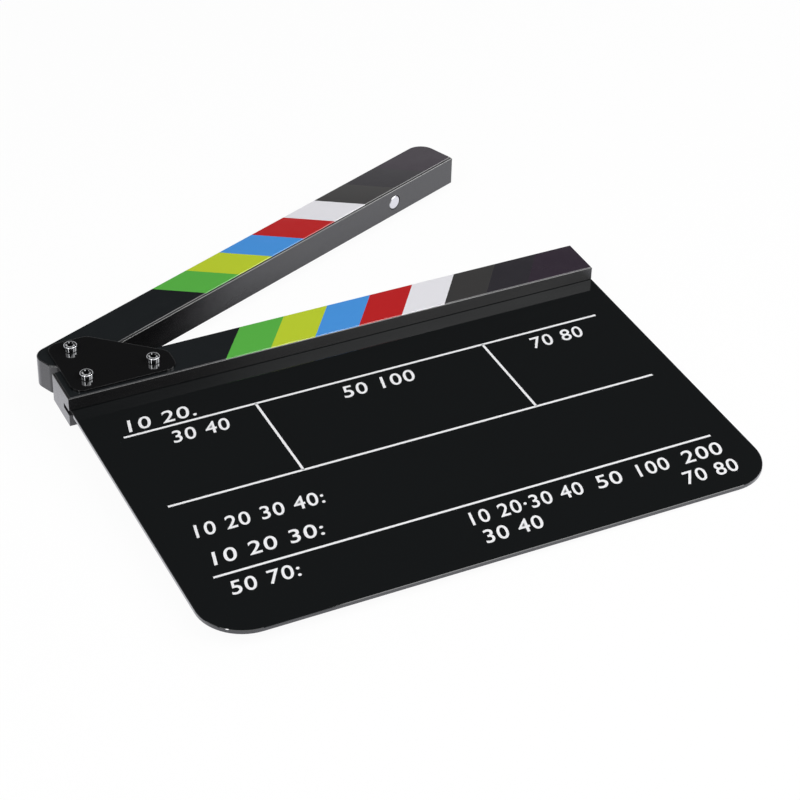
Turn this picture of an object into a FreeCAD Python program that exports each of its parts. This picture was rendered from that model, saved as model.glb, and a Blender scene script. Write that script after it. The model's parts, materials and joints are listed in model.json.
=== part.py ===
import FreeCAD, Part
import os
import re

import Sketcher

# A clapperboard, lying with its writing face up and its clapper half open.
# +X runs along the sticks from the hinge to the tip, +Y from the board's bottom edge to the sticks, and +Z out of
# the writing face. The origin is the middle of the bottom edge, half way through the board.

# Driving dimensions, in millimetres.
LENGTHS = {
    # Writing board; the height is what shows below the lower stick.
    "board_width": 300,
    "board_height": 190,
    "board_thickness": 2.3,
    "board_corner_radius": 24,
    "board_edge_break": 0.25,
    # Both sticks; the rise is from the writing face up to the bare stick's top.
    "stick_length": 300.7,
    "stick_width": 24.5,
    "stick_thickness": 16.8,
    "stick_rise": 7.5,
    "stick_overhang": 1,
    "stick_edge_break": 0.2,
    "closing_gap": 1.8,
    "side_play": 0.1,
    # Slot in the lower stick for the board.
    "slot_depth": 8,
    "slot_clearance": 0.3,
    # Upper stick: its back edge and heel are placed from the pivot, and the gap is what the stop flat leaves.
    "clapper_back": 12.9,
    "heel_reach": 15.8,
    "heel_corner_radius": 7.2,
    "heel_flat_radius": 3,
    "stop_gap": 0.3,
    "tip_corner_radius": 10,
    # Coloured faces: bare margins along the lower stick's hinge end and the upper stick's clapping edge are wider.
    "face_thickness": 0.4,
    "face_edge_break": 0.2,
    "face_inset": 0.3,
    "hinge_end_inset": 1,
    "clapping_inset": 1.3,
    # Stripes start this far from the pivot, more on the lower stick and less on the upper by the stagger, and the tip
    # cuts the last one short.
    "stripe_start": 87.7,
    "stripe_stagger": 0.6,
    "stripe_trim": 3.5,
    # Hinge plates: margins round the bolts, and the lengths of the two short straight edges.
    "plate_thickness": 1.2,
    "plate_margin": 10.1,
    "plate_far_margin": 10.2,
    "plate_top_margin": 8.5,
    "plate_top_edge": 22.3,
    "plate_tail_edge": 15.8,
    "plate_corner_radius": 6.5,
    "plate_edge_break": 0.06,
    # Bolts; the pivot and the two fixing bolts are placed from the lower stick's hinge end and front face.
    "pivot_from_end": 15,
    "bolt_from_end": 14.2,
    "bolt_from_front": 12.1,
    "bolt_spacing": 36,
    "bolt_diameter": 4,
    "bolt_clearance": 0.15,
    "bolt_projection": 0.3,
    "bolt_tip_break": 0.5,
    "head_diameter": 7,
    "head_height": 3.3,
    "head_edge_break": 0.4,
    "socket_width": 3,
    "socket_depth": 2,
    # Lock nuts: a hexagon and the round collar that holds the locking ring.
    "nut_width": 7,
    "nut_height": 3.3,
    "collar_diameter": 6.4,
    "collar_height": 1.7,
    "collar_edge_break": 0.6,
    "nut_clearance": 0.1,
    # Pivot: sleeve round the bolt, and the washers let into both sides of the clapper.
    "sleeve_clearance": 0.1,
    "sleeve_wall": 0.9,
    "pivot_clearance": 0.05,
    "washer_diameter": 12,
    "washer_clearance": 0.3,
    "washer_play": 0.05,
    # Disc magnets, flush with the clapping faces.
    "magnet_diameter": 8,
    "magnet_thickness": 3,
    "magnet_from_tip": 49.7,
    "magnet_clearance": 0.35,
    "magnet_edge_break": 0.3,
    # How far a cutting tool runs past what it cuts.
    "overrun": 5,
}

# Driving angles, in degrees: how far the clapper is open at rest and at its heel stop, and the stripes' lean.
ANGLES = {
    "rest_angle": 22.27,
    "stop_angle": 52.4,
    "stripe_angle": 36.4,
}

# How close two places or directions have to be to count as the same.
TOLERANCE = 1e-6

# The coloured faces in order from the hinge to the tip.
FACES = (
    "face_black",
    "stripe_green",
    "stripe_yellow",
    "stripe_blue",
    "stripe_red",
    "stripe_white",
    "stripe_brown",
    "stripe_charcoal",
    "stripe_plum",
)

# Places worked out from the driving dimensions.
HALF_STICK = "(stick_width / 2)"
TIP_REACH = "(stick_length - heel_reach)"
LOWER_REACH = "(stick_length - pivot_from_end)"
PIVOT_X = "(pivot_from_end - stick_overhang - board_width / 2)"
LOWER_Y = "(board_height + stick_width / 2)"
PIVOT_HEIGHT = "(stick_width + closing_gap + stick_width / 2)"
PIVOT_Y = f"(board_height + {PIVOT_HEIGHT})"
STICK_TOP = "(board_thickness / 2 + stick_rise)"
STICK_BOTTOM = f"({STICK_TOP} - stick_thickness)"
FACE_TOP = f"({STICK_TOP} + face_thickness)"
PLATE_GAP = "(stick_thickness + face_thickness)"
FIXING_X = "(bolt_from_end - pivot_from_end)"
FIXING_Y = f"(bolt_from_front - {PIVOT_HEIGHT})"
TAIL_X = f"({FIXING_X} + bolt_spacing)"
SLEEVE_BORE = "(bolt_diameter + 2 * sleeve_clearance)"
SLEEVE_DIAMETER = f"({SLEEVE_BORE} + 2 * sleeve_wall)"
PIVOT_BORE = f"({SLEEVE_DIAMETER} + 2 * pivot_clearance)"
WASHER_THICKNESS = "(face_thickness + side_play - washer_play)"
WASHER_RECESS = "(washer_diameter + 2 * washer_clearance)"
BOLT_HOLE = "(bolt_diameter + 2 * bolt_clearance)"
MAGNET_HOLE = "(magnet_diameter + 2 * magnet_clearance)"
MAGNET_X = f"({TIP_REACH} - magnet_from_tip)"
NUT_STACK = "(nut_height + collar_height)"
STRIPE_PITCH = f"(({TIP_REACH} + stripe_trim - stripe_start) / {len(FACES) - 1})"

doc = FreeCAD.newDocument("clapperboard")
sheet = doc.addObject("Spreadsheet::Sheet", "sizes")
SIZES = {**LENGTHS, **ANGLES}
for row, (alias, number) in enumerate(SIZES.items(), start=1):
    sheet.set(f"A{row}", alias)
    sheet.set(f"B{row}", str(number))
    sheet.setAlias(f"B{row}", alias)
doc.recompute()

subparts = []


def tied(expression):
    """The expression with the sheet named before each of its sizes."""
    return re.sub(r"[a-z_]+", lambda word: f"sizes.{word[0]}" if word[0] in SIZES else word[0], expression)


def measure(expression):
    """What the expression comes to with the sheet's present sizes."""
    return float(sheet.evalExpression(tied(expression)))


def new_body(name, x, y, z, angle=None):
    """An empty body placed at x, y, z and turned about Z."""
    body = doc.addObject("PartDesign::Body", name)
    body.Label = name
    for axis, place in zip("xyz", (x, y, z)):
        body.setExpression(f"Placement.Base.{axis}", tied(place))
    if angle:
        body.Placement.Rotation = FreeCAD.Rotation(FreeCAD.Vector(0, 0, 1), measure(angle))
        body.setExpression("Placement.Rotation.Angle", tied(angle))
    return body


def new_sketch(body, role, offset=None):
    """An empty sketch on one of the body's origin planes, moved along that plane's normal."""
    sketch = body.newObject("Sketcher::SketchObject", f"{body.Name}_sketch")
    plane = next(feature for feature in body.Origin.OriginFeatures if feature.Role == role)
    sketch.AttachmentSupport = (plane, "")
    sketch.MapMode = "FlatFace"
    if offset:
        sketch.setExpression("AttachmentOffset.Base.z", tied(offset))
    return sketch


def pin_point(sketch, geometry, point, x, y):
    """Ties a sketch point to its distances from the sketch's origin."""
    for kind, place, axis in (("DistanceX", x, -2), ("DistanceY", y, -1)):
        if measure(place) == 0:
            sketch.addConstraint(Sketcher.Constraint("PointOnObject", geometry, point, axis))
            continue
        index = sketch.addConstraint(Sketcher.Constraint(kind, -1, 1, geometry, point, measure(place)))
        sketch.setExpression(f"Constraints[{index}]", tied(place))


def polygon(body, corners, role="XY_Plane", offset=None):
    """A sketch of straight lines through the corners."""
    sketch = new_sketch(body, role, offset)
    points = [FreeCAD.Vector(measure(x), measure(y), 0) for x, y in corners]
    for start, end in zip(points, points[1:] + points[:1]):
        sketch.addGeometry(Part.LineSegment(start, end))
    for line in range(len(points)):
        following = (line + 1) % len(points)
        sketch.addConstraint(Sketcher.Constraint("Coincident", line, 2, following, 1))
    for line, (x, y) in enumerate(corners):
        pin_point(sketch, line, 1, x, y)
    return sketch


def circles(body, places, role="XY_Plane", offset=None):
    """A sketch of circles, each given by its centre and diameter."""
    sketch = new_sketch(body, role, offset)
    for x, y, diameter in places:
        centre = FreeCAD.Vector(measure(x), measure(y), 0)
        circle = Part.Circle(centre, FreeCAD.Vector(0, 0, 1), measure(diameter) / 2)
        index = sketch.addGeometry(circle)
        pin_point(sketch, index, 3, x, y)
        constraint = sketch.addConstraint(Sketcher.Constraint("Diameter", index, measure(diameter)))
        sketch.setExpression(f"Constraints[{constraint}]", tied(diameter))
    return sketch


def hexagon(width):
    """Corners of a hexagon about the origin, from its width across flats."""
    turns = (0, 60, 120, 180, 240, 300)
    return [(f"{width} / sqrt(3) * cos({turn})", f"{width} / sqrt(3) * sin({turn})") for turn in turns]


def pad(body, sketch, length, backwards=False):
    """Raises the sketch along its normal, or against it."""
    feature = body.newObject("PartDesign::Pad", f"{body.Name}_pad")
    feature.Profile = sketch
    feature.setExpression("Length", tied(length))
    feature.Reversed = backwards
    doc.recompute()
    return feature


def pocket(body, sketch, depth=None, backwards=False):
    """Cuts the sketch out to a depth, or right through, and makes sure that it cut something."""
    before = body.Shape.Volume
    feature = body.newObject("PartDesign::Pocket", f"{body.Name}_pocket")
    feature.Profile = sketch
    if depth:
        feature.setExpression("Length", tied(depth))
        feature.Reversed = backwards
    else:
        feature.Type = "ThroughAll"
        feature.Midplane = True
    doc.recompute()
    if not feature.Shape.Volume < before:
        raise RuntimeError(f"{body.Name}: a pocket cuts nothing")
    return feature


def round_corner(body, corner, radius):
    """Rounds the upright edge over one corner of the body's outline."""
    base = body.Tip
    place = FreeCAD.Vector(measure(corner[0]), measure(corner[1]), 0)
    edges = []
    for number, edge in enumerate(base.Shape.Edges, start=1):
        ends = [FreeCAD.Vector(vertex.X, vertex.Y, 0) for vertex in edge.Vertexes]
        if len(ends) == 2 and all(end.isEqual(place, TOLERANCE) for end in ends):
            edges.append(f"Edge{number}")
    feature = body.newObject("PartDesign::Fillet", f"{body.Name}_fillet")
    feature.Base = (base, edges)
    feature.setExpression("Radius", tied(radius))
    doc.recompute()
    return feature


def break_edges(body, size, normal=FreeCAD.Vector(0, 0, 1), both=True):
    """Bevels every edge of the flat faces that look along the normal, or along it and against it."""
    base = body.Tip
    faces = []
    for number, face in enumerate(base.Shape.Faces, start=1):
        along = face.normalAt(0, 0).dot(normal)
        if isinstance(face.Surface, Part.Plane) and (abs(along) if both else along) > 1 - TOLERANCE:
            faces.append(f"Face{number}")
    feature = body.newObject("PartDesign::Chamfer", f"{body.Name}_bevel")
    feature.Base = (base, faces)
    feature.setExpression("Size", tied(size))
    doc.recompute()
    return feature


def keep(subpart):
    """Adds a finished piece to those that are written."""
    subparts.append(subpart)
    return subpart


def group(name, members):
    """One sub-part of several like solids."""
    compound = doc.addObject("Part::Compound", name)
    compound.Label = name
    compound.Links = members
    doc.recompute()
    return keep(compound)


def slate_board():
    """The writing board, whose top edge reaches into the lower stick."""
    half, top = "(board_width / 2)", "(board_height + slot_depth - slot_clearance)"
    corners = [(f"-{half}", "0"), (half, "0"), (half, top), (f"-{half}", top)]
    body = new_body("slate_board", "0", "0", "-board_thickness / 2")
    pad(body, polygon(body, corners), "board_thickness")
    for corner in corners[:2]:
        round_corner(body, corner, "board_corner_radius")
    break_edges(body, "board_edge_break")
    keep(body)


def straight_outline(inset, hinge_end_inset):
    """Outline of the lower stick or its face, about a point below the pivot on the stick's middle line."""
    half = f"({HALF_STICK} - {inset})"
    left, right = f"-(pivot_from_end - {hinge_end_inset})", f"({LOWER_REACH} - {inset})"
    return [(left, f"-{half}"), (right, f"-{half}"), (right, half), (left, half)]


def clapper_outline(inset, clapping_inset):
    """Outline of the upper stick or its face about the pivot, with the radius of each rounded corner.

    The heel is rounded from the clapping edge into a flat, which lies along the lower stick when the clapper is open
    to its stop, with the stop gap between them.
    """
    front, back = f"({HALF_STICK} - {clapping_inset})", f"(clapper_back - {inset})"
    heel, tip = f"(heel_reach - {inset})", f"({TIP_REACH} - {inset})"
    flat = f"({HALF_STICK} + closing_gap - stop_gap - {inset})"
    arc_corner = (f"-({flat} - {front} * cos(stop_angle)) / sin(stop_angle)", f"-{front}")
    flat_corner = (f"-{heel}", f"({heel} * sin(stop_angle) - {flat}) / cos(stop_angle)")
    heel_corner = (f"-{heel}", back)
    tip_corner = (tip, back)
    corners = [(tip, f"-{front}"), tip_corner, heel_corner, flat_corner, arc_corner]
    rounds = [
        (tip_corner, f"tip_corner_radius - {inset}"),
        (heel_corner, f"heel_corner_radius - {inset}"),
        (flat_corner, "heel_flat_radius"),
        (arc_corner, front),
    ]
    return corners, rounds


def magnet_hole(body, side):
    """Sinks the magnet's hole into the clapping face, which is on the +Y side of the lower stick."""
    place = (MAGNET_X, "stick_thickness / 2", MAGNET_HOLE)
    sketch = circles(body, [place], "XZ_Plane", f"{-side} * {HALF_STICK}")
    pocket(body, sketch, "magnet_thickness", backwards=side > 0)


def magnet(name, x, y, z, side, angle=None):
    """A disc magnet, made in its stick's own frame."""
    body = new_body(name, x, y, z, angle)
    place = (MAGNET_X, "stick_thickness / 2", "magnet_diameter")
    sketch = circles(body, [place], "XZ_Plane", f"{-side} * {HALF_STICK}")
    pad(body, sketch, "magnet_thickness", backwards=side < 0)
    break_edges(body, "magnet_edge_break", FreeCAD.Vector(0, 1, 0))
    keep(body)


def lower_stick():
    """The bar that holds the board in a slot along its front face."""
    body = new_body("lower_stick", PIVOT_X, LOWER_Y, STICK_BOTTOM)
    pad(body, polygon(body, straight_outline("0", "0")), "stick_thickness")
    break_edges(body, "stick_edge_break")
    front, back = f"-({HALF_STICK} + overrun)", f"-({HALF_STICK} - slot_depth)"
    board_top = "(stick_thickness - stick_rise)"
    low, high = f"({board_top} - board_thickness - slot_clearance)", f"({board_top} + slot_clearance)"
    pocket(body, polygon(body, [(front, low), (back, low), (back, high), (front, high)], "YZ_Plane"))
    row = f"(bolt_from_front - {HALF_STICK})"
    pocket(body, circles(body, [(FIXING_X, row, BOLT_HOLE), (TAIL_X, row, BOLT_HOLE)]))
    magnet_hole(body, 1)
    keep(body)


def upper_stick():
    """The clapper, thinner than the lower stick by the play at each side, with a recess for the rear washer."""
    body = new_body("upper_stick", PIVOT_X, PIVOT_Y, STICK_BOTTOM, "rest_angle")
    corners, rounds = clapper_outline("0", "0")
    pad(body, polygon(body, corners, offset="side_play"), "stick_thickness - 2 * side_play")
    for corner, radius in rounds:
        round_corner(body, corner, radius)
    break_edges(body, "stick_edge_break")
    pocket(body, circles(body, [("0", "0", PIVOT_BORE)]))
    pocket(body, circles(body, [("0", "0", WASHER_RECESS)], offset="side_play"), "face_thickness", backwards=True)
    magnet_hole(body, -1)
    keep(body)


def band_edge(number, side):
    """The two ends of the slanted line between a coloured face and the next, past the stick's clapping and far edges.

    The line leaves the clapping edge at its own distance from the pivot and leans back towards the hinge.
    """
    start = f"(stripe_start + {side} * stripe_stagger + {number} * {STRIPE_PITCH})"
    clapping = (f"{start} + overrun * tan(stripe_angle)", f"{side} * ({HALF_STICK} + overrun)")
    far = (f"{start} - (stick_width + overrun) * tan(stripe_angle)", f"{-side} * ({HALF_STICK} + overrun)")
    return clapping, far


def coloured_faces(stick, face, side, x, y, z, angle=None):
    """The thin pieces laid edge to edge on a stick, cut from its face by slanted bands."""
    last = len(FACES) - 1
    for number, name in enumerate(FACES):
        label = f"{stick}_{name}"
        band = new_body(f"{label}_band", x, y, z, angle)
        left = band_edge(number - 1, side)
        right = band_edge(number, side)
        if number == 0:
            left = tuple(("-(heel_reach + overrun)", edge[1]) for edge in left)
        if number == last:
            right = tuple((f"({LOWER_REACH} + overrun)", edge[1]) for edge in right)
        pad(band, polygon(band, [left[0], right[0], right[1], left[1]]), "face_thickness")
        piece = doc.addObject("Part::Common", label)
        piece.Label = label
        piece.Base = face
        piece.Tool = band
        doc.recompute()
        keep(piece)


def lower_faces():
    """The lower stick's coloured face, with holes for the fixing bolts."""
    place = (PIVOT_X, LOWER_Y, STICK_TOP)
    face = new_body("lower_face", *place)
    pad(face, polygon(face, straight_outline("face_inset", "hinge_end_inset")), "face_thickness")
    break_edges(face, "face_edge_break", both=False)
    row = f"(bolt_from_front - {HALF_STICK})"
    pocket(face, circles(face, [(FIXING_X, row, BOLT_HOLE), (TAIL_X, row, BOLT_HOLE)]))
    coloured_faces("lower", face, 1, *place)


def upper_faces():
    """The upper stick's coloured face, with a hole for the front washer."""
    place = (PIVOT_X, PIVOT_Y, f"{STICK_TOP} - side_play", "rest_angle")
    face = new_body("upper_face", *place)
    corners, rounds = clapper_outline("face_inset", "clapping_inset")
    pad(face, polygon(face, corners), "face_thickness")
    for corner, radius in rounds:
        round_corner(face, corner, radius)
    break_edges(face, "face_edge_break", both=False)
    pocket(face, circles(face, [("0", "0", WASHER_RECESS)]))
    coloured_faces("upper", face, -1, *place)


def hinge_plate(name, z):
    """A corner plate with a cut-back side, bored for the pivot bolt and the two fixing bolts."""
    left, right = f"({FIXING_X} - plate_margin)", f"({TAIL_X} + plate_far_margin)"
    bottom, top = f"({FIXING_Y} - plate_margin)", "plate_top_margin"
    corners = [
        (left, bottom),
        (right, bottom),
        (right, f"{bottom} + plate_tail_edge"),
        (f"{left} + plate_top_edge", top),
        (left, top),
    ]
    body = new_body(name, PIVOT_X, PIVOT_Y, z)
    pad(body, polygon(body, corners), "plate_thickness")
    for corner in corners:
        round_corner(body, corner, "plate_corner_radius")
    break_edges(body, "plate_edge_break")
    places = [("0", "0", BOLT_HOLE), (FIXING_X, FIXING_Y, BOLT_HOLE), (TAIL_X, FIXING_Y, BOLT_HOLE)]
    pocket(body, circles(body, places))
    keep(body)


def socket_bolt(name, x, y):
    """A turned socket-head bolt, from the front plate through to just past its nut."""
    body = new_body(name, f"{PIVOT_X} + {x}", f"{PIVOT_Y} + {y}", f"{FACE_TOP} + plate_thickness")
    shank, head = "(bolt_diameter / 2)", "(head_diameter / 2)"
    length = f"(2 * plate_thickness + {PLATE_GAP} + {NUT_STACK} + bolt_projection)"
    profile = [
        ("0", f"-{length}"),
        (f"{shank} - bolt_tip_break", f"-{length}"),
        (shank, f"bolt_tip_break - {length}"),
        (shank, "0"),
        (head, "0"),
        (head, "head_height - head_edge_break"),
        (f"{head} - head_edge_break", "head_height"),
        ("0", "head_height"),
    ]
    sketch = polygon(body, profile, "XZ_Plane")
    turning = body.newObject("PartDesign::Revolution", f"{name}_turning")
    turning.Profile = sketch
    turning.ReferenceAxis = (sketch, ["V_Axis"])
    turning.Angle = 360
    doc.recompute()
    pocket(body, polygon(body, hexagon("socket_width"), offset="head_height"), "socket_depth")
    return body


def lock_nut(name, x, y):
    """A hexagon nut under the rear plate, with its locking collar away from the plate."""
    body = new_body(name, f"{PIVOT_X} + {x}", f"{PIVOT_Y} + {y}", f"{STICK_BOTTOM} - plate_thickness")
    pad(body, polygon(body, hexagon("nut_width")), "nut_height", backwards=True)
    collar = circles(body, [("0", "0", "collar_diameter")], offset="-nut_height")
    pad(body, collar, "collar_height", backwards=True)
    base = body.Tip
    rim = []
    for number, edge in enumerate(base.Shape.Edges, start=1):
        if edge.BoundBox.ZMax < TOLERANCE - measure(NUT_STACK):
            rim.append(f"Edge{number}")
    bevel = body.newObject("PartDesign::Chamfer", f"{name}_bevel")
    bevel.Base = (base, rim)
    bevel.setExpression("Size", tied("collar_edge_break"))
    doc.recompute()
    pocket(body, circles(body, [("0", "0", "bolt_diameter + 2 * nut_clearance")]))
    return body


def ring(name, z, bore, diameter, length):
    """A plain ring about the pivot."""
    body = new_body(name, PIVOT_X, PIVOT_Y, z)
    pad(body, circles(body, [("0", "0", diameter), ("0", "0", bore)]), length)
    keep(body)


def hinge():
    """Plates, bolts, nuts, sleeve and washers."""
    hinge_plate("front_hinge_plate", FACE_TOP)
    hinge_plate("rear_hinge_plate", f"{STICK_BOTTOM} - plate_thickness")
    keep(socket_bolt("pivot_bolt", "0", "0"))
    keep(lock_nut("pivot_lock_nut", "0", "0"))
    fixings = ((FIXING_X, FIXING_Y), (TAIL_X, FIXING_Y))
    group("fixing_bolts", [socket_bolt(f"fixing_bolt_{n}", *place) for n, place in enumerate(fixings)])
    group("fixing_lock_nuts", [lock_nut(f"fixing_lock_nut_{n}", *place) for n, place in enumerate(fixings)])
    ring("pivot_sleeve", STICK_BOTTOM, SLEEVE_BORE, SLEEVE_DIAMETER, PLATE_GAP)
    seats = {"front_pivot_washer": f"{FACE_TOP} - {WASHER_THICKNESS}", "rear_pivot_washer": STICK_BOTTOM}
    for name, seat in seats.items():
        ring(name, seat, PIVOT_BORE, "washer_diameter", WASHER_THICKNESS)


def write_parts():
    """Checks every object and piece, and then writes one file for each piece."""
    doc.recompute()
    for item in doc.Objects:
        if "Invalid" in item.State or "Error" in item.State:
            raise RuntimeError(f"{item.Label}: {item.State}")
    for subpart in subparts:
        if subpart.Shape.isNull() or not subpart.Shape.isValid():
            raise RuntimeError(f"{subpart.Label}: no valid shape")
    os.makedirs("parts", exist_ok=True)
    for subpart in subparts:
        subpart.Shape.exportStep(f"parts/{subpart.Label}.step")
        solids = len(subpart.Shape.Solids)
        print(f"{subpart.Label}: {solids} solid(s), {subpart.Shape.Volume:.1f} mm3")


slate_board()
lower_stick()
lower_faces()
magnet("lower_magnet", PIVOT_X, LOWER_Y, STICK_BOTTOM, 1)
upper_stick()
upper_faces()
magnet("upper_magnet", PIVOT_X, PIVOT_Y, STICK_BOTTOM, -1, "rest_angle")
hinge()
write_parts()
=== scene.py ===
import json
import math

import bmesh
import bpy
from mathutils import Matrix, Vector


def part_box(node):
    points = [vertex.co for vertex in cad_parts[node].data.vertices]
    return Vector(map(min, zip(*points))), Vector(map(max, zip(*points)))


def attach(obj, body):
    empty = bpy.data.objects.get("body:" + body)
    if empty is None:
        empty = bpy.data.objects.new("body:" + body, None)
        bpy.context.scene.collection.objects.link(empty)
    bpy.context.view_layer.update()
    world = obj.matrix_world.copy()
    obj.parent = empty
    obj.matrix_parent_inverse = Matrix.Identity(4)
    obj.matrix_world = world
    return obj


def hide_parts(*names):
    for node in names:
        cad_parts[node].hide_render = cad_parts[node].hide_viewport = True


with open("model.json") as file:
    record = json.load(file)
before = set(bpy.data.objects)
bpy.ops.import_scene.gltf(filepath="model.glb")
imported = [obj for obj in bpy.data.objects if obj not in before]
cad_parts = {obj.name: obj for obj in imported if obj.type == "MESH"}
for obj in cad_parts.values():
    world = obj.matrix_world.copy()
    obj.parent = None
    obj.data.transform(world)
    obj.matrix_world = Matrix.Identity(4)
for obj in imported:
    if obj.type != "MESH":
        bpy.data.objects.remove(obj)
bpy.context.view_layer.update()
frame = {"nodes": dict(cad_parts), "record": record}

MM = 0.001
# Edges that turn by more than this stay crisp.
SHARP_ANGLE = math.radians(40)

# White print on the board, in millimetres from the middle of its bottom edge.
INK_THICKNESS = 0.06
RULE_WIDTH = 1.35
RULE_ENDS = (-133.6, 134.6)
RULE_HEIGHTS = (41.3, 98.5, 158.4)
DIVIDER_PLACES = (-62.75, 66.45)
NUMBER_WEIGHT = 0.008
NUMBER_SPACING = 1.1
NUMBER_SLANT = 0.21
NUMBER_HEIGHT = 9.4
# Each row of numbers with its left and right ends and its baseline.
FIELD_NUMBERS = (
    ("10 20.", -129.5, -93.2, 161.6),
    ("30 40", -112.2, -81.0, 144.2),
    ("50 100", -19.2, 22.0, 144.2),
    ("70 80", 90.2, 120.8, 144.0),
    ("10 20 30 40:", -129.8, -62.2, 71.1),
    ("10 20 30:", -129.8, -72.2, 49.2),
    ("50 70:", -130.0, -94.5, 26.3),
    ("10 20·30 40", -6.5, 55.5, 26.3),
    ("50", 62.5, 77.4, 26.3),
    ("100", 85.5, 104.0, 26.3),
    ("200", 111.0, 134.6, 26.3),
    ("30 40", -6.5, 25.5, 11.6),
    ("70 80", 104.0, 134.6, 11.6),
)

# Colours of the film on the sticks.
FILM_COLOURS = {
    "face_black": "#1a1d1f",
    "stripe_green": "#58af46",
    "stripe_yellow": "#bbcd32",
    "stripe_blue": "#4994de",
    "stripe_red": "#bb2325",
    "stripe_white": "#e7e6eb",
    "stripe_brown": "#3b3a3a",
    "stripe_charcoal": "#2f2d32",
    "stripe_plum": "#332b35",
}

# Sockets of the node that mixes two colours, which go by number.
MIX_SHARE, MIX_FIRST, MIX_SECOND, MIX_RESULT = 0, 6, 7, 2

# Share of a noise pattern's range that a spread of values takes up.
NOISE_SPAN = (0.3, 0.7)

# How far the enamel looks rounded at the plates' edges, in millimetres.
ENAMEL_ROUND = 0.3
ENAMEL_SAMPLES = 8

# Bolts and nuts, in millimetres: the head's rounded rim, its socket across the flats, and the locking ring.
RIM_ROUND = 0.65
RIM_STEPS = 6
SOCKET_SIDES = 6
SOCKET_WIDTH = 3
SOCKET_DEPTH = 2
SOCKET_POINT = 0.7
SOCKET_LEAD = 0.25
SHANK_RADIUS = 2
SHANK_BREAK = 0.5
FOOT_BREAK = 0.35
TURNING_STEPS = 48
RING_RADII = (2.05, 2.75)
RING_RISE = 0.1
# Points nearer than this are one, in metres.
MERGE_DISTANCE = 1e-7

# Floor: half its side in metres, and how much of what the camera sees is plain white.
FLOOR_REACH = 4
FLOOR_WHITE = 0.95
# How gloss sees the floor: dark where the slate hides the sky on the camera's side. The reach is in
# millimetres, and the lean tilts the floor's upright towards the camera.
NOOK_REACH = 120
NOOK_LEAN = (-1.8, -1.8, 0)
NOOK_SAMPLES = 16
NOOK_SPAN = (0.632, 0.777)

# Backdrop: the angles in degrees over which it darkens upwards, its brightness below and above them, the
# way it lies, and how it fades to its sides.
BACKDROP_ANGLES = (30.4, 32.2)
BACKDROP_LEVELS = (0.62, 0.04)
BACKDROP_WAY = (0.17, 0.985, 0)
BACKDROP_FADE = (0.3, 0.6)
BACKDROP_SIDE = 0.2

# Soft lamps: place, width and height in metres, and power in watts. All look at one point.
LAMPS_LOOK_AT = (0, 0.16, 0)
SOFTBOXES = {
    "key_softbox": ((0.79, -1.0, 1.17), 0.7, 0.72, 8),
    "top_softbox": ((0.61, -0.36, 1.72), 1.1, 1.1, 8.9),
    "edge_softbox": ((1.47, -0.2, 1.0), 0.9, 0.5, 10),
    "side_softbox": ((-1.3, 0.3, 1.3), 1.0, 1.0, 4.5),
    "strip_softbox": ((-1.07, -0.53, 0.88), 0.12, 0.45, 3.5),
    "front_softbox": ((-0.55, -0.72, 1.5), 2.2, 0.9, 12),
}

# The photograph's viewpoint: sensor and lens in millimetres, place in metres and turns in degrees.
SENSOR_WIDTH = 36
LENS = 109.822
CAMERA_PLACE = (-0.4447, -0.7634, 0.73322)
CAMERA_TURNS = (53.8284, -1.3298, -25.7305)


def linear(colour):
    """A written colour as the linear values that the shaders take."""
    parts = [int(colour[place:place + 2], 16) / 255 for place in (1, 3, 5)]
    return [part / 12.92 if part <= 0.04045 else ((part + 0.055) / 1.055) ** 2.4 for part in parts] + [1]


def per(size):
    """Pattern scale for marks of this many millimetres."""
    return 1 / (size * MM)


def add(tree, kind, inputs, **settings):
    """Adds a node with its settings, and gives its sockets values or links."""
    node = tree.nodes.new(kind)
    for name, value in settings.items():
        setattr(node, name, value)
    for socket, value in inputs.items():
        if isinstance(value, bpy.types.NodeSocket):
            tree.links.new(value, node.inputs[socket])
        else:
            node.inputs[socket].default_value = value
    return node


def new_finish(name, **sockets):
    """A material with one main shader, whose sockets are named with underscores for spaces."""
    material = bpy.data.materials.new(name)
    material.use_nodes = True
    tree = material.node_tree
    tree.nodes.clear()
    inputs = {socket.replace("_", " "): value for socket, value in sockets.items()}
    shader = add(tree, "ShaderNodeBsdfPrincipled", inputs)
    add(tree, "ShaderNodeOutputMaterial", {"Surface": shader.outputs["BSDF"]})
    return material, tree, shader


def noise(tree, size, detail, stretch=(1, 1, 1)):
    """Mottling of a size in millimetres, drawn out along the piece's own axes."""
    place = add(tree, "ShaderNodeTexCoord", {}).outputs["Object"]
    inputs = {"Vector": place, "Scale": stretch}
    mapping = add(tree, "ShaderNodeMapping", inputs, vector_type="TEXTURE")
    inputs = {"Vector": mapping.outputs[0], "Scale": per(size), "Detail": detail}
    return add(tree, "ShaderNodeTexNoise", inputs).outputs[0]


def spread(tree, shader, socket, pattern, low, high):
    """Drives one socket from a pattern, between two values."""
    start, end = NOISE_SPAN
    inputs = {"Value": pattern, "From Min": start, "From Max": end, "To Min": low, "To Max": high}
    tree.links.new(add(tree, "ShaderNodeMapRange", inputs).outputs[0], shader.inputs[socket])


def emboss(tree, shader, pattern, depth, strength):
    """Raises a pattern by a depth in millimetres."""
    inputs = {"Height": pattern, "Distance": depth * MM, "Strength": strength}
    bump = add(tree, "ShaderNodeBump", inputs)
    tree.links.new(bump.outputs[0], shader.inputs["Normal"])
    return bump


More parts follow.
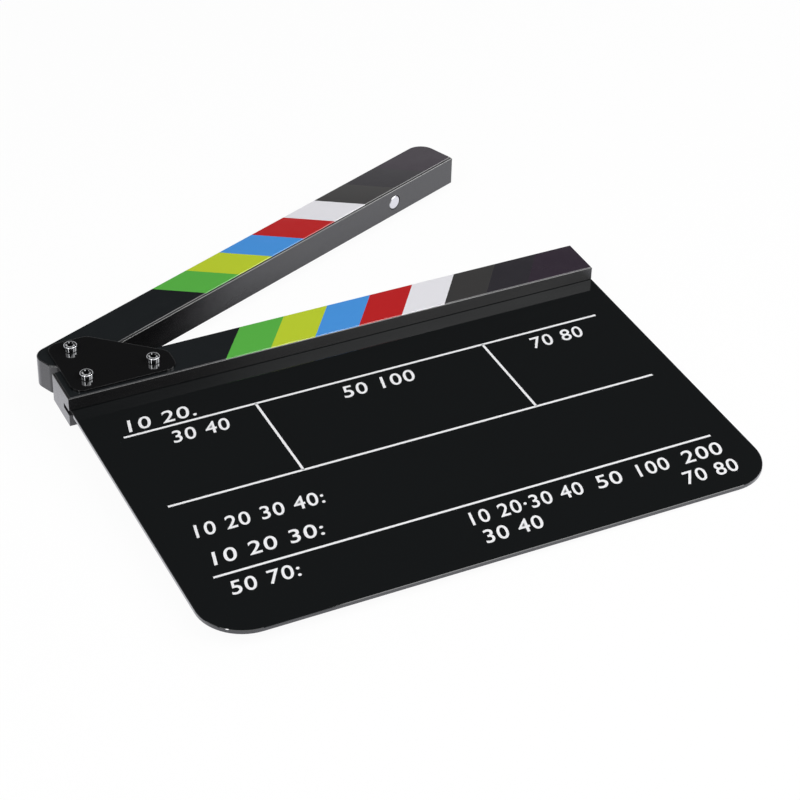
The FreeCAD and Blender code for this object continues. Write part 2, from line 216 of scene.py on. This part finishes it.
def cast_acrylic():
    # Cast black acrylic with a polished face: a deep mirror gloss, dulled a little where it was wiped.
    # Faces that do not look up or down, the cut edges, are given a lighter grey and a clear coat for a
    # harder gloss.
    material, tree, shader = new_finish("cast_black_acrylic", IOR=1.5)
    facing = add(tree, "ShaderNodeNewGeometry", {}).outputs["Normal"]
    upright = add(tree, "ShaderNodeSeparateXYZ", {"Vector": facing}).outputs["Z"]
    level = add(tree, "ShaderNodeMath", {0: upright}, operation="ABSOLUTE").outputs[0]
    inputs = {MIX_SHARE: level, MIX_FIRST: linear("#28292b"), MIX_SECOND: linear("#121415")}
    shade = add(tree, "ShaderNodeMix", inputs, data_type="RGBA")
    tree.links.new(shade.outputs[MIX_RESULT], shader.inputs["Base Color"])
    edge = add(tree, "ShaderNodeMath", {0: 1, 1: level}, operation="SUBTRACT")
    tree.links.new(edge.outputs[0], shader.inputs["Coat Weight"])
    wiping = noise(tree, size=40, detail=4, stretch=(3, 1, 1))
    spread(tree, shader, "Roughness", wiping, low=0.03, high=0.07)
    emboss(tree, shader, noise(tree, size=60, detail=1), depth=0.05, strength=0.1)
    return material


def black_lacquer():
    # Black lacquer on a planed wooden bar under a clear coat: glossy, with orange peel about 1.5 mm across.
    sockets = {"IOR": 1.65, "Coat_Weight": 0.5, "Coat_IOR": 1.5, "Coat_Roughness": 0.12}
    colour = linear("#161617")
    material, tree, shader = new_finish("black_lacquer_on_wood", Base_Color=colour, **sockets)
    grain = noise(tree, size=12, detail=4, stretch=(6, 1, 1))
    spread(tree, shader, "Roughness", grain, low=0.18, high=0.28)
    emboss(tree, shader, noise(tree, size=1.5, detail=2), depth=0.02, strength=0.25)
    return material


def vinyl_film(name, colour):
    # Printed vinyl film under a clear laminate: glossy, with a faint orange peel from the glue below.
    material, tree, shader = new_finish(f"vinyl_film_{name}", Base_Color=linear(colour), IOR=1.55)
    spread(tree, shader, "Roughness", noise(tree, size=8, detail=3), low=0.05, high=0.09)
    emboss(tree, shader, noise(tree, size=2.5, detail=2), depth=0.01, strength=0.2)
    return material


def stoved_enamel():
    # Gloss black enamel stoved on sheet steel: nearly a mirror, with long soft waves. It flows
    # round the plates' edges.
    colour = linear("#0f0f10")
    material, tree, shader = new_finish("stoved_black_enamel", Base_Color=colour, IOR=1.55)
    spread(tree, shader, "Roughness", noise(tree, size=15, detail=3), low=0.03, high=0.06)
    waves = emboss(tree, shader, noise(tree, size=4, detail=1), depth=0.01, strength=0.1)
    rounded = add(tree, "ShaderNodeBevel", {"Radius": ENAMEL_ROUND * MM}, samples=ENAMEL_SAMPLES)
    tree.links.new(rounded.outputs[0], waves.inputs["Normal"])
    return material


def metal(name, colour, low, high, grain):
    # Bare or plated metal, whose gloss varies with its grain. The grain's size is in millimetres.
    material, tree, shader = new_finish(name, Base_Color=linear(colour), Metallic=1)
    spread(tree, shader, "Roughness", noise(tree, grain, detail=3), low, high)
    return material


def natural_nylon():
    # Natural nylon, turned: milky and dull.
    material, tree, shader = new_finish("natural_nylon", Base_Color=linear("#dcdad2"), IOR=1.53)
    spread(tree, shader, "Roughness", noise(tree, size=0.8, detail=3), low=0.4, high=0.55)
    return material


def printing_ink():
    # Baked white screen ink: opaque, satin, with the mesh of the screen just showing in the gloss.
    material, tree, shader = new_finish("white_screen_ink", Base_Color=linear("#ececee"), IOR=1.5)
    spread(tree, shader, "Roughness", noise(tree, size=0.6, detail=2), low=0.3, high=0.45)
    return material


def dress_nodes():
    """Gives every solid the finish of its slot."""
    finishes = {
        "board_acrylic": cast_acrylic(),
        "stick_paint": black_lacquer(),
        "plate_enamel": stoved_enamel(),
        "bolt_steel": metal("polished_stainless", "#d3d4d7", low=0.02, high=0.05, grain=0.5),
        "nut_steel": metal("bright_zinc_plate", "#b9bcc0", low=0.2, high=0.35, grain=0.5),
        "sleeve_steel": metal("turned_steel", "#b0b0b2", low=0.2, high=0.3, grain=0.3),
        "magnet_nickel": metal("satin_nickel_plate", "#e8e8eb", low=0.25, high=0.35, grain=0.8),
        "washer_nylon": natural_nylon(),
    }
    finishes.update({slot: vinyl_film(slot, colour) for slot, colour in FILM_COLOURS.items()})
    for subpart in frame["record"]["subparts"]:
        mesh = frame["nodes"][subpart["node"]].data
        mesh.materials.clear()
        mesh.materials.append(finishes[subpart["material_slot"]])


def new_piece(name, shape, materials, body):
    """Turns a finished shape into a piece that rides on a body."""
    mesh = bpy.data.meshes.new(name)
    shape.to_mesh(mesh)
    shape.free()
    mesh.shade_smooth()
    mesh.set_sharp_from_angle(angle=SHARP_ANGLE)
    for material in materials:
        mesh.materials.append(material)
    piece = bpy.data.objects.new(name, mesh)
    bpy.context.scene.collection.objects.link(piece)
    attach(piece, body)
    return piece


def ruled_lines(ink, face):
    """Three rules across the board and two dividers between the upper pair."""
    left, right = RULE_ENDS
    low, high = RULE_HEIGHTS[1:]
    bars = [((left + right) / 2, height, right - left, RULE_WIDTH) for height in RULE_HEIGHTS]
    bars += [(place, (low + high) / 2, RULE_WIDTH, high - low) for place in DIVIDER_PLACES]
    shape = bmesh.new()
    for x, y, width, height in bars:
        place = Matrix.Translation((x * MM, y * MM, face))
        size = Matrix.Diagonal((width * MM, height * MM, 2 * INK_THICKNESS * MM, 1))
        bmesh.ops.create_cube(shape, size=1, matrix=place @ size)
    new_piece("ruled_lines", shape, [ink], "slate")


def field_numbers(ink, face):
    """The printed numbers of the board's fields, slanted and set to reach from end to end."""
    shape = bmesh.new()
    for text, left, right, baseline in FIELD_NUMBERS:
        curve = bpy.data.curves.new("number", "FONT")
        curve.body = text
        curve.offset = NUMBER_WEIGHT
        curve.space_character = NUMBER_SPACING
        curve.shear = NUMBER_SLANT
        curve.extrude = 1
        holder = bpy.data.objects.new("number", curve)
        bpy.context.scene.collection.objects.link(holder)
        bpy.context.view_layer.update()
        mesh = bpy.data.meshes.new_from_object(holder)
        tall = max(vertex.co.y for vertex in mesh.vertices)
        reach = [vertex.co.x for vertex in mesh.vertices]
        across = (right - left) * MM / (max(reach) - min(reach))
        size = Matrix.Diagonal((across, NUMBER_HEIGHT * MM / tall, INK_THICKNESS * MM, 1))
        place = Matrix.Translation((left * MM - min(reach) * across, baseline * MM, face))
        mesh.transform(place @ size)
        shape.from_mesh(mesh)
        bpy.data.objects.remove(holder)
        bpy.data.curves.remove(curve)
        bpy.data.meshes.remove(mesh)
    new_piece("field_numbers", shape, [ink], "slate")


def full_turn(shape, profile, middle):
    """Turns a profile once round an upright line."""
    turn = {"axis": (0, 0, 1), "angle": 2 * math.pi, "steps": TURNING_STEPS, "use_merge": True}
    bmesh.ops.spin(shape, geom=profile, cent=middle, **turn)


def turned_bolt(shape, x, y, low, seat, top, radius):
    """Adds a socket-head bolt at x, y, from its end up to its seat and the top of its head."""
    rim = RIM_ROUND * MM
    turns = [math.pi / 2 * step / RIM_STEPS for step in range(RIM_STEPS + 1)]
    corner = SOCKET_WIDTH / math.sqrt(3)
    lead = (corner + SOCKET_LEAD) * MM
    profile = [
        (0, low),
        ((SHANK_RADIUS - SHANK_BREAK) * MM, low),
        (SHANK_RADIUS * MM, low + SHANK_BREAK * MM),
        (SHANK_RADIUS * MM, seat),
        (radius - FOOT_BREAK * MM, seat),
        (radius, seat + FOOT_BREAK * MM),
        *((radius - rim + rim * math.cos(turn), top - rim + rim * math.sin(turn)) for turn in turns),
        (lead, top),
    ]
    bolt = bmesh.new()
    points = [bolt.verts.new((across, 0, height)) for across, height in profile]
    line = [bolt.edges.new(pair) for pair in zip(points, points[1:])]
    full_turn(bolt, points + line, (0, 0, 0))
    bmesh.ops.remove_doubles(bolt, verts=bolt.verts[:], dist=MERGE_DISTANCE)
    mouth = [edge for edge in bolt.edges if edge.is_boundary]
    place = Matrix.Translation((0, 0, top - SOCKET_LEAD * MM))
    flats = bmesh.ops.create_circle(bolt, segments=SOCKET_SIDES, radius=corner * MM, matrix=place)
    sides = list({edge for vertex in flats["verts"] for edge in vertex.link_edges})
    bmesh.ops.subdivide_edges(bolt, edges=sides, cuts=TURNING_STEPS // SOCKET_SIDES - 1)
    hexagon = [edge for edge in bolt.edges if edge.is_wire]
    bmesh.ops.bridge_loops(bolt, edges=mouth + hexagon)
    wall = bmesh.ops.extrude_edge_only(bolt, edges=hexagon)["geom"]
    floor = [item for item in wall if isinstance(item, bmesh.types.BMVert)]
    bmesh.ops.translate(bolt, verts=floor, vec=(0, 0, -SOCKET_DEPTH * MM))
    bottom = bmesh.ops.contextual_create(bolt, geom=floor)["faces"]
    point = bmesh.ops.poke(bolt, faces=bottom, offset=-SOCKET_POINT * MM)["faces"]
    # The socket's walls and point take the second material, whose dark colour is painted shade.
    for side in point + [item for item in wall if isinstance(item, bmesh.types.BMFace)]:
        side.material_index = 1
    bmesh.ops.recalc_face_normals(bolt, faces=bolt.faces[:])
    bmesh.ops.translate(bolt, verts=bolt.verts[:], vec=(x, y, 0))
    mesh = bpy.data.meshes.new("bolt")
    bolt.to_mesh(mesh)
    bolt.free()
    shape.from_mesh(mesh)
    bpy.data.meshes.remove(mesh)


def bolt_places():
    """Middle of each bolt: the pivot's and the two that clamp the plates."""
    pivot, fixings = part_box("pivot_bolt"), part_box("fixing_bolts")
    radius = (pivot[1].x - pivot[0].x) / 2
    row = (fixings[0].y + fixings[1].y) / 2
    pivot_place = ((pivot[0].x + pivot[1].x) / 2, (pivot[0].y + pivot[1].y) / 2)
    return radius, [pivot_place], [(fixings[0].x + radius, row), (fixings[1].x - radius, row)]


def socket_bolts():
    """Polished bolts in place of the plain ones."""
    steel = frame["nodes"]["pivot_bolt"].data.materials[0]
    # The socket's walls and point get a dark steel, far darker than the head: painted shade in the recess.
    socket = metal("socket_painted_shade_steel", "#3c3c3e", low=0.35, high=0.5, grain=0.3)
    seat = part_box("front_hinge_plate")[1].z
    radius, *groups = bolt_places()
    for node, places in zip(("pivot_bolt", "fixing_bolts"), groups):
        low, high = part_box(node)
        shape = bmesh.new()
        for x, y in places:
            turned_bolt(shape, x, y, low.z, seat, high.z, radius)
        piece = new_piece(f"polished_{node}", shape, [steel, socket], "slate")
        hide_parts(node)


def locking_rings():
    """Nylon rings that stand just proud of the lock nuts' collars, round the bolts' ends."""
    nylon = frame["nodes"]["rear_pivot_washer"].data.materials[0]
    inner, outer = (radius * MM for radius in RING_RADII)
    end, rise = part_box("pivot_lock_nut")[0].z, RING_RISE * MM
    profile = [
        (inner, end + rise),
        (inner, end - rise),
        (outer - rise, end - rise),
        (outer, end),
        (outer, end + rise),
    ]
    shape = bmesh.new()
    pivots, fixings = bolt_places()[1:]
    for x, y in pivots + fixings:
        points = [shape.verts.new((x + across, y, height)) for across, height in profile]
        line = [shape.edges.new(pair) for pair in zip(points, points[1:] + points[:1])]
        full_turn(shape, points + line, (x, y, 0))
    bmesh.ops.recalc_face_normals(shape, faces=shape.faces[:])
    new_piece("locking_rings", shape, [nylon], "slate")


def studio_floor():
    """A white floor under the hinge's bolt ends, the lower stick's far end and the board's near corner."""
    bolts, stick, board = (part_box(node) for node in ("fixing_bolts", "lower_stick", "slate_board"))
    hinge = Vector((bolts[1].x, bolts[0].y, bolts[0].z))
    stick_end = Vector((stick[1].x, stick[0].y, stick[0].z))
    corner = Vector((board[1].x, board[0].y, board[0].z))
    up = (stick_end - corner).cross(hinge - corner).normalized()
    solids = [node.data for node in frame["nodes"].values()]
    lowest = min(up.dot(vertex.co) for solid in solids for vertex in solid.vertices)
    place = Matrix.Translation(up * lowest) @ up.to_track_quat("Z", "Y").to_matrix().to_4x4()
    shape = bmesh.new()
    bmesh.ops.create_grid(shape, x_segments=1, y_segments=1, size=FLOOR_REACH, matrix=place)
    mesh = bpy.data.meshes.new("studio_floor")
    shape.to_mesh(mesh)
    shape.free()
    floor = bpy.data.objects.new("studio_floor", mesh)
    bpy.context.scene.collection.objects.link(floor)
    # White paper: it shows as the white of the background, and a share of its own light keeps the
    # shadow. Gloss sees it white too, but dark in the narrow places that little light reaches.
    material = bpy.data.materials.new("white_paper")
    material.use_nodes = True
    tree = material.node_tree
    tree.nodes.clear()
    ray = add(tree, "ShaderNodeLightPath", {})
    kinds = {0: ray.outputs["Is Glossy Ray"], 1: ray.outputs["Is Transmission Ray"]}
    mirrored = add(tree, "ShaderNodeMath", kinds, operation="MAXIMUM").outputs[0]
    camera = ray.outputs["Is Camera Ray"]
    seen = add(tree, "ShaderNodeMath", {0: camera, 1: FLOOR_WHITE}, operation="MULTIPLY").outputs[0]
    share = add(tree, "ShaderNodeMath", {0: seen, 1: mirrored}, operation="MAXIMUM")
    facing = add(tree, "ShaderNodeNewGeometry", {}).outputs["Normal"]
    lean = add(tree, "ShaderNodeVectorMath", {0: facing, 1: NOOK_LEAN}, operation="ADD").outputs[0]
    inputs = {"Distance": NOOK_REACH * MM, "Normal": lean}
    open_sky = add(tree, "ShaderNodeAmbientOcclusion", inputs, samples=NOOK_SAMPLES).outputs["AO"]
    dark, light = NOOK_SPAN
    inputs = {"Value": open_sky, "From Min": dark, "From Max": light}
    open_floor = add(tree, "ShaderNodeMapRange", inputs).outputs[0]
    level = add(tree, "ShaderNodeMath", {0: camera, 1: open_floor}, operation="MAXIMUM").outputs[0]
    paper = add(tree, "ShaderNodeBsdfDiffuse", {"Color": linear("#f4f4f4")})
    inputs = {MIX_SHARE: camera, MIX_FIRST: linear("#f9f9ff"), MIX_SECOND: linear("#ffffff")}
    tint = add(tree, "ShaderNodeMix", inputs, data_type="RGBA").outputs[MIX_RESULT]
    white = add(tree, "ShaderNodeEmission", {"Color": tint, "Strength": level})
    inputs = {0: share.outputs[0], 1: paper.outputs[0], 2: white.outputs[0]}
    mixed = add(tree, "ShaderNodeMixShader", inputs)
    add(tree, "ShaderNodeOutputMaterial", {"Surface": mixed.outputs[0]})
    mesh.materials.append(material)


def studio_world():
    """A pale backdrop behind the slate, under a dark ceiling; the camera sees white all over."""
    world = bpy.data.worlds.new("studio")
    bpy.context.scene.world = world
    world.use_nodes = True
    tree = world.node_tree
    tree.nodes.clear()
    towards = add(tree, "ShaderNodeTexCoord", {}).outputs["Generated"]
    height = add(tree, "ShaderNodeSeparateXYZ", {"Vector": towards}).outputs["Z"]
    low, high = (math.sin(math.radians(angle)) for angle in BACKDROP_ANGLES)
    below, above = BACKDROP_LEVELS
    inputs = {"Value": height, "From Min": low, "From Max": high, "To Min": below, "To Max": above}
    sweep = add(tree, "ShaderNodeMapRange", inputs, interpolation_type="SMOOTHSTEP").outputs[0]
    inputs = {0: towards, 1: BACKDROP_WAY}
    behind = add(tree, "ShaderNodeVectorMath", inputs, operation="DOT_PRODUCT").outputs["Value"]
    low, high = BACKDROP_FADE
    inputs = {"Value": behind, "From Min": low, "From Max": high, "To Min": BACKDROP_SIDE, "To Max": 1}
    sides = add(tree, "ShaderNodeMapRange", inputs, interpolation_type="SMOOTHSTEP").outputs[0]
    backdrop = add(tree, "ShaderNodeMath", {0: sweep, 1: sides}, operation="MULTIPLY").outputs[0]
    camera = add(tree, "ShaderNodeLightPath", {}).outputs["Is Camera Ray"]
    level = add(tree, "ShaderNodeMath", {0: backdrop, 1: camera}, operation="MAXIMUM").outputs[0]
    light = add(tree, "ShaderNodeBackground", {"Color": (1, 1, 1, 1), "Strength": level})
    add(tree, "ShaderNodeOutputWorld", {"Surface": light.outputs[0]})


def softbox(name, place, width, height, power):
    """A soft lamp that looks at the middle of the slate."""
    lamp = bpy.data.lights.new(name, "AREA")
    lamp.shape = "RECTANGLE"
    lamp.size = width
    lamp.size_y = height
    lamp.energy = power
    holder = bpy.data.objects.new(name, lamp)
    bpy.context.scene.collection.objects.link(holder)
    holder.location = place
    look = Vector(LAMPS_LOOK_AT) - Vector(place)
    holder.rotation_euler = look.to_track_quat("-Z", "Y").to_euler()


def photo_camera():
    """The photograph's viewpoint."""
    camera = bpy.data.cameras.new("camera")
    camera.sensor_width = SENSOR_WIDTH
    camera.lens = LENS
    holder = bpy.data.objects.new("camera", camera)
    bpy.context.scene.collection.objects.link(holder)
    holder.location = CAMERA_PLACE
    holder.rotation_euler = [math.radians(turn) for turn in CAMERA_TURNS]
    bpy.context.scene.camera = holder


dress_nodes()
ink = printing_ink()
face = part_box("slate_board")[1].z
ruled_lines(ink, face)
field_numbers(ink, face)
socket_bolts()
locking_rings()

studio_floor()
studio_world()
for name, (place, width, height, power) in SOFTBOXES.items():
    softbox(name, place, width, height, power)
photo_camera()
bpy.context.scene.view_settings.view_transform = "Standard"
